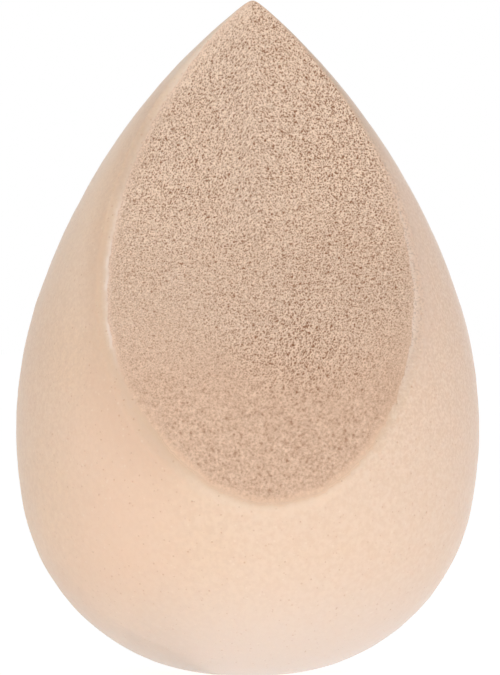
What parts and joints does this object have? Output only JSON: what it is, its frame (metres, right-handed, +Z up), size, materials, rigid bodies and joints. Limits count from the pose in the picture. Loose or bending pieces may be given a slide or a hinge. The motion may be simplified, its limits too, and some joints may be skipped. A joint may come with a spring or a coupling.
{
  "type": "makeup sponge",
  "caption": "Teardrop foam makeup sponge with a pointed tip, a rounded bottom and one slanted flat cut face of bare open foam.",
  "frame": {"origin": "centre of the small flat foot that the sponge stands on", "axes": "+Z up along the body's axis of revolution, from the foot to the tip; -Y out of the side that the cut face looks to; +X to the right as the cut face is looked at"},
  "size_m": [0.041, 0.0405, 0.0598],
  "materials": {
    "bare_foam": "matte",
    "skin_foam": "matte"
  },
  "bodies": {
    "root": {"foam_core": "bare_foam", "moulded_skin": "skin_foam"}
  },
  "joints": []
}
